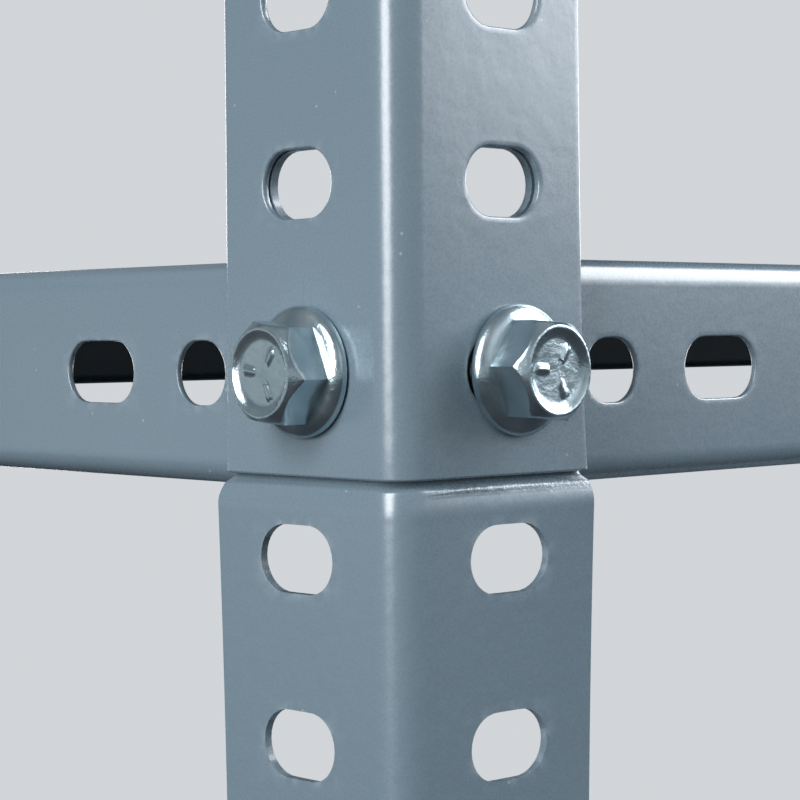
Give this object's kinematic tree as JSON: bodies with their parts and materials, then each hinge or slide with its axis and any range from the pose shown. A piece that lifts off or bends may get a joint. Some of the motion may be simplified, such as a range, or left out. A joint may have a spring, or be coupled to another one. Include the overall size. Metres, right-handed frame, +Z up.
{
  "type": "steel shelving unit",
  "caption": "Free-standing steel shelving: spliced slotted angle posts, step beams fixed with hex flange bolts and nuts, and lift-out sheet decks.",
  "frame": {"origin": "on the floor, under the middle of the unit", "axes": "+Z up, +X to the right along the long front, +Y from the front to the back"},
  "size_m": [1.2358, 0.6262, 1.8321],
  "materials": {
    "powder_coat": "semi-gloss blue-grey powder coat with fine orange peel",
    "zinc_plate": "bright bluish zinc plating, lightly forged texture",
    "foot_plastic": "moulded black polyethylene"
  },
  "bodies": {
    "frame": {"lower_post_front_left": "powder_coat", "upper_post_front_left": "powder_coat", "foot_front_left": "foot_plastic", "lower_post_front_right": "powder_coat", "upper_post_front_right": "powder_coat", "foot_front_right": "foot_plastic", "lower_post_back_right": "powder_coat", "upper_post_back_right": "powder_coat", "foot_back_right": "foot_plastic", "lower_post_back_left": "powder_coat", "upper_post_back_left": "powder_coat", "foot_back_left": "foot_plastic", "beam_front_1": "powder_coat", "beam_front_2": "powder_coat", "beam_front_3": "powder_coat", "beam_front_4": "powder_coat", "beam_front_5": "powder_coat", "beam_right_1": "powder_coat", "beam_right_2": "powder_coat", "beam_right_3": "powder_coat", "beam_right_4": "powder_coat", "beam_right_5": "powder_coat", "beam_back_1": "powder_coat", "beam_back_2": "powder_coat", "beam_back_3": "powder_coat", "beam_back_4": "powder_coat", "beam_back_5": "powder_coat", "beam_left_1": "powder_coat", "beam_left_2": "powder_coat", "beam_left_3": "powder_coat", "beam_left_4": "powder_coat", "beam_left_5": "powder_coat", "nut_front_a": "zinc_plate", "nut_front_b": "zinc_plate", "nut_right_a": "zinc_plate", "nut_right_b": "zinc_plate", "nut_back_a": "zinc_plate", "nut_back_b": "zinc_plate", "nut_left_a": "zinc_plate", "nut_left_b": "zinc_plate"},
    "deck_1": {"deck_1": "powder_coat", "deck_rib_1": "powder_coat"},
    "deck_2": {"deck_2": "powder_coat", "deck_rib_2": "powder_coat"},
    "deck_3": {"deck_3": "powder_coat", "deck_rib_3": "powder_coat"},
    "deck_4": {"deck_4": "powder_coat", "deck_rib_4": "powder_coat"},
    "deck_5": {"deck_5": "powder_coat", "deck_rib_5": "powder_coat"},
    "bolt_front_a": {"bolt_front_a": "zinc_plate"},
    "bolt_front_b": {"bolt_front_b": "zinc_plate"},
    "bolt_right_a": {"bolt_right_a": "zinc_plate"},
    "bolt_right_b": {"bolt_right_b": "zinc_plate"},
    "bolt_back_a": {"bolt_back_a": "zinc_plate"},
    "bolt_back_b": {"bolt_back_b": "zinc_plate"},
    "bolt_left_a": {"bolt_left_a": "zinc_plate"},
    "bolt_left_b": {"bolt_left_b": "zinc_plate"}
  },
  "joints": [
    {"name": "deck_1_lift", "type": "slide", "parent": "frame", "child": "deck_1", "axis": [0, 0, 1], "range_m": [0, 0.12]},
    {"name": "deck_2_lift", "type": "slide", "parent": "frame", "child": "deck_2", "axis": [0, 0, 1], "range_m": [0, 0.12]},
    {"name": "deck_3_lift", "type": "slide", "parent": "frame", "child": "deck_3", "axis": [0, 0, 1], "range_m": [0, 0.12]},
    {"name": "deck_4_lift", "type": "slide", "parent": "frame", "child": "deck_4", "axis": [0, 0, 1], "range_m": [0, 0.12]},
    {"name": "deck_5_lift", "type": "slide", "parent": "frame", "child": "deck_5", "axis": [0, 0, 1], "range_m": [0, 0.12]},
    {"name": "bolt_front_a_turn", "type": "hinge", "parent": "frame", "child": "bolt_front_a", "pos_m": [-0.5877, -0.3048, 0.9304], "axis": [0, -1, 0], "continuous": true},
    {"name": "bolt_front_b_turn", "type": "hinge", "parent": "frame", "child": "bolt_front_b", "pos_m": [0.5877, -0.3048, 0.9304], "axis": [0, -1, 0], "continuous": true},
    {"name": "bolt_right_a_turn", "type": "hinge", "parent": "frame", "child": "bolt_right_a", "pos_m": [0.6096, -0.2867, 0.9304], "axis": [1, 0, 0], "continuous": true},
    {"name": "bolt_right_b_turn", "type": "hinge", "parent": "frame", "child": "bolt_right_b", "pos_m": [0.6096, 0.2867, 0.9304], "axis": [1, 0, 0], "continuous": true},
    {"name": "bolt_back_a_turn", "type": "hinge", "parent": "frame", "child": "bolt_back_a", "pos_m": [0.5877, 0.3048, 0.9304], "axis": [0, 1, 0], "continuous": true},
    {"name": "bolt_back_b_turn", "type": "hinge", "parent": "frame", "child": "bolt_back_b", "pos_m": [-0.5877, 0.3048, 0.9304], "axis": [0, 1, 0], "continuous": true},
    {"name": "bolt_left_a_turn", "type": "hinge", "parent": "frame", "child": "bolt_left_a", "pos_m": [-0.6096, 0.2867, 0.9304], "axis": [-1, 0, 0], "continuous": true},
    {"name": "bolt_left_b_turn", "type": "hinge", "parent": "frame", "child": "bolt_left_b", "pos_m": [-0.6096, -0.2867, 0.9304], "axis": [-1, 0, 0], "continuous": true}
  ]
}
